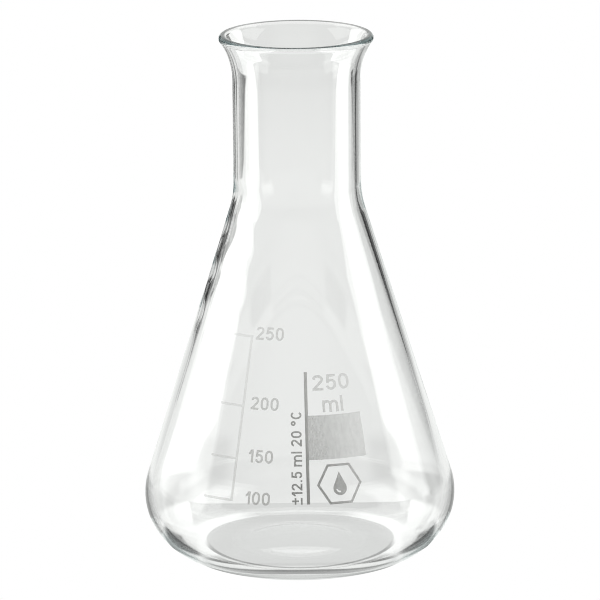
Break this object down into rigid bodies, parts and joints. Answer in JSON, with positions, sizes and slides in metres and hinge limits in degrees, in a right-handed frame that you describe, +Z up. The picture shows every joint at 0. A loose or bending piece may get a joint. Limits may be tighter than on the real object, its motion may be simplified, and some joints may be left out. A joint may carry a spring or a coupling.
{
  "type": "erlenmeyer flask",
  "caption": "Conical glass flask with a flat base, a narrow cylindrical neck and a flared, fire-polished rim, marked with an enamel volume scale and a writing patch.",
  "frame": {"origin": "centre of the foot, on the surface that the flask stands on", "axes": "+Z up along the axis of the neck and cone; the enamel faces -Y and +X is to its reader's right"},
  "size_m": [0.085, 0.085, 0.145],
  "materials": {
    "glass": "clear borosilicate glass, fire-polished",
    "enamel": "fired white enamel, satin"
  },
  "bodies": {
    "root": {"flask_body": "glass", "graduation_scale": "enamel", "numeral_250": "enamel", "numeral_200": "enamel", "numeral_150": "enamel", "numeral_100": "enamel", "capacity_bar": "enamel", "capacity_numerals": "enamel", "capacity_unit": "enamel", "tolerance_caption": "enamel", "writing_patch": "enamel", "emblem": "enamel"}
  },
  "joints": []
}
